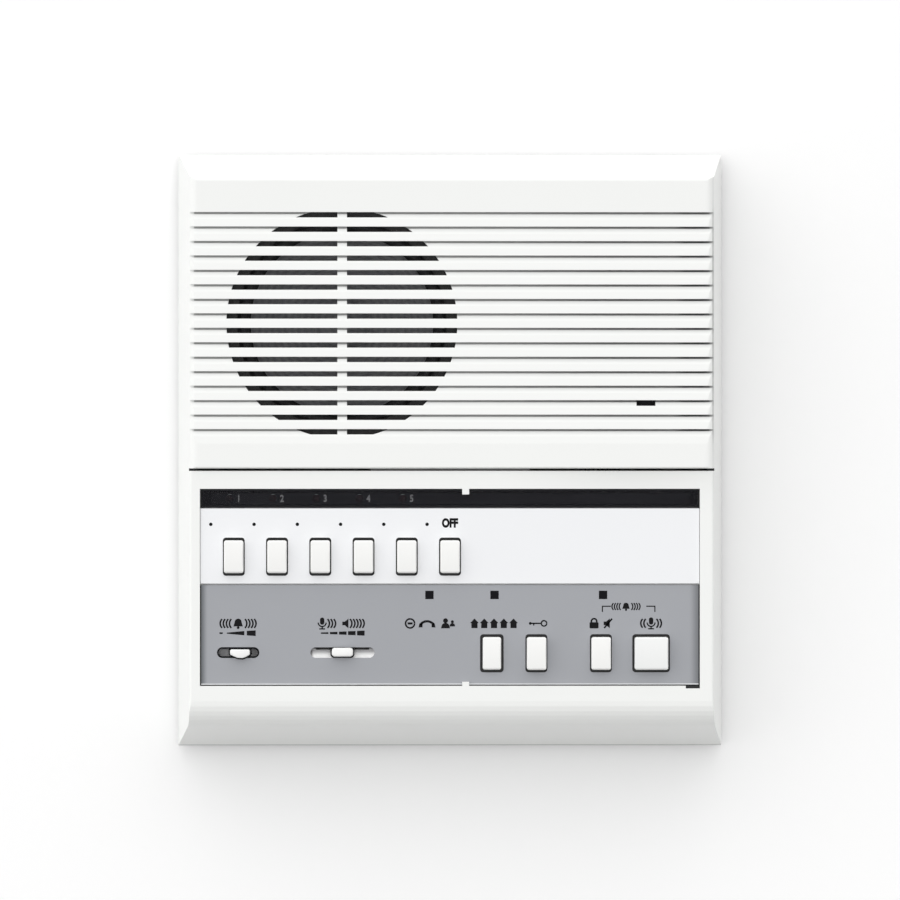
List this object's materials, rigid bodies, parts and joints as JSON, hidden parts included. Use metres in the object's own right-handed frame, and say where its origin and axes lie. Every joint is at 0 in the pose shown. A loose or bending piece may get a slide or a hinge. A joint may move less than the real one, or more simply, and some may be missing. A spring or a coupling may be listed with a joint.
{
  "type": "desk intercom",
  "caption": "Desk intercom master: drafted ivory case with a louvred speaker grille over a panel of push buttons, a smoked directory strip and two slide volume controls.",
  "frame": {"origin": "on the surface the feet stand on, under the middle of the case", "axes": "+X right across the face, +Y up the face towards the speaker end, +Z out of the face"},
  "size_m": [0.205, 0.223, 0.0534],
  "materials": {
    "case_plastic": "fine satin, ivory white",
    "base_plastic": "fine matt",
    "foot_rubber": "matt",
    "screw_steel": "zinc plated",
    "smoked_window": "smoked acrylic",
    "card": "matt print",
    "grey_panel": "satin grey",
    "black_lens": "glossy",
    "button_plastic": "satin",
    "spring_steel": "bright wire",
    "plated_steel": "zinc plated",
    "black_plastic": "matt",
    "knob_plastic": "semi gloss",
    "circuit_board": "phenolic paper laminate",
    "lamp_red": "clear tinted",
    "basket_steel": "plated pressing",
    "cone_paper": "felted pulp",
    "magnet": "matt ferrite",
    "gasket_foam": "closed cell foam",
    "boot_rubber": "matt",
    "core_steel": "varnished laminations",
    "copper": "enamelled wire under tape",
    "capacitor_sleeve": "shrink sleeve",
    "heat_sink_aluminium": "bare extrusion",
    "terminal_plastic": "moulded",
    "ribbon": "pvc"
  },
  "bodies": {
    "case": {"front_housing": "case_plastic", "base_plate": "base_plastic", "rubber_feet": "foot_rubber", "case_screws": "screw_steel", "directory_window": "smoked_window", "directory_card": "card", "station_panel": "case_plastic", "control_plate": "grey_panel", "indicator_lenses": "black_lens", "station_spring_1": "spring_steel", "station_spring_2": "spring_steel", "station_spring_3": "spring_steel", "station_spring_4": "spring_steel", "station_spring_5": "spring_steel", "off_spring": "spring_steel", "all_call_spring": "spring_steel", "door_release_spring": "spring_steel", "privacy_spring": "spring_steel", "talk_spring": "spring_steel", "station_switch_frame": "plated_steel", "all_call_switch": "black_plastic", "door_release_switch": "black_plastic", "privacy_switch": "black_plastic", "talk_switch": "black_plastic", "signal_volume_switch": "plated_steel", "voice_volume_pot": "plated_steel", "switch_board": "circuit_board", "indicator_lamps": "lamp_red", "board_screws": "screw_steel", "speaker_basket": "basket_steel", "speaker_cone": "cone_paper", "speaker_magnet": "magnet", "speaker_gasket": "gasket_foam", "speaker_clamps": "plated_steel", "speaker_screws": "screw_steel", "microphone_boot": "boot_rubber", "microphone_capsule": "plated_steel", "amplifier_board": "circuit_board", "transformer_core": "core_steel", "transformer_coil": "copper", "capacitors": "capacitor_sleeve", "heat_sink": "heat_sink_aluminium", "terminal_block": "terminal_plastic", "terminal_screws": "screw_steel", "board_ribbon": "ribbon"},
    "station_1_key": {"station_button_1": "button_plastic"},
    "station_2_key": {"station_button_2": "button_plastic"},
    "station_3_key": {"station_button_3": "button_plastic"},
    "station_4_key": {"station_button_4": "button_plastic"},
    "station_5_key": {"station_button_5": "button_plastic"},
    "off_key": {"off_button": "button_plastic"},
    "all_call_key": {"all_call_button": "button_plastic"},
    "door_release_key": {"door_release_button": "button_plastic"},
    "privacy_key": {"privacy_button": "button_plastic"},
    "talk_key": {"talk_button": "button_plastic"},
    "latch": {"latch_bar": "plated_steel"},
    "signal_slide": {"signal_volume_slider": "black_plastic", "signal_volume_knob": "knob_plastic"},
    "voice_slide": {"voice_volume_slider": "plated_steel", "voice_volume_knob": "knob_plastic"}
  },
  "joints": [
    {"name": "press_station_1", "type": "slide", "parent": "case", "child": "station_1_key", "axis": [0, 0, -1], "range_m": [0, 0.003], "stiffness_N_per_m": 400, "springref_m": -0.0015, "deforming": ["station_spring_1"]},
    {"name": "press_station_2", "type": "slide", "parent": "case", "child": "station_2_key", "axis": [0, 0, -1], "range_m": [0, 0.003], "stiffness_N_per_m": 400, "springref_m": -0.0015, "deforming": ["station_spring_2"]},
    {"name": "press_station_3", "type": "slide", "parent": "case", "child": "station_3_key", "axis": [0, 0, -1], "range_m": [0, 0.003], "stiffness_N_per_m": 400, "springref_m": -0.0015, "deforming": ["station_spring_3"]},
    {"name": "press_station_4", "type": "slide", "parent": "case", "child": "station_4_key", "axis": [0, 0, -1], "range_m": [0, 0.003], "stiffness_N_per_m": 400, "springref_m": -0.0015, "deforming": ["station_spring_4"]},
    {"name": "press_station_5", "type": "slide", "parent": "case", "child": "station_5_key", "axis": [0, 0, -1], "range_m": [0, 0.003], "stiffness_N_per_m": 400, "springref_m": -0.0015, "deforming": ["station_spring_5"]},
    {"name": "press_off", "type": "slide", "parent": "case", "child": "off_key", "axis": [0, 0, -1], "range_m": [0, 0.003], "stiffness_N_per_m": 400, "springref_m": -0.0015, "deforming": ["off_spring"]},
    {"name": "press_all_call", "type": "slide", "parent": "case", "child": "all_call_key", "axis": [0, 0, -1], "range_m": [0, 0.003], "stiffness_N_per_m": 400, "springref_m": -0.0015, "deforming": ["all_call_spring"]},
    {"name": "press_door_release", "type": "slide", "parent": "case", "child": "door_release_key", "axis": [0, 0, -1], "range_m": [0, 0.003], "stiffness_N_per_m": 400, "springref_m": -0.0015, "deforming": ["door_release_spring"]},
    {"name": "press_privacy", "type": "slide", "parent": "case", "child": "privacy_key", "axis": [0, 0, -1], "range_m": [0, 0.003], "stiffness_N_per_m": 400, "springref_m": -0.0015, "deforming": ["privacy_spring"]},
    {"name": "press_talk", "type": "slide", "parent": "case", "child": "talk_key", "axis": [0, 0, -1], "range_m": [0, 0.003], "stiffness_N_per_m": 400, "springref_m": -0.0015, "deforming": ["talk_spring"]},
    {"name": "latch_slide", "type": "slide", "parent": "case", "child": "latch", "axis": [1, 0, 0], "range_m": [0, 0.0011]},
    {"name": "signal_volume", "type": "slide", "parent": "case", "child": "signal_slide", "axis": [1, 0, 0], "range_m": [-0.0045, 0.0031]},
    {"name": "voice_volume", "type": "slide", "parent": "case", "child": "voice_slide", "axis": [1, 0, 0], "range_m": [-0.0072, 0.0072]}
  ],
  "couplings": [
    {"joint": "latch_slide", "follows": "press_off", "ratio": 0.35}
  ]
}
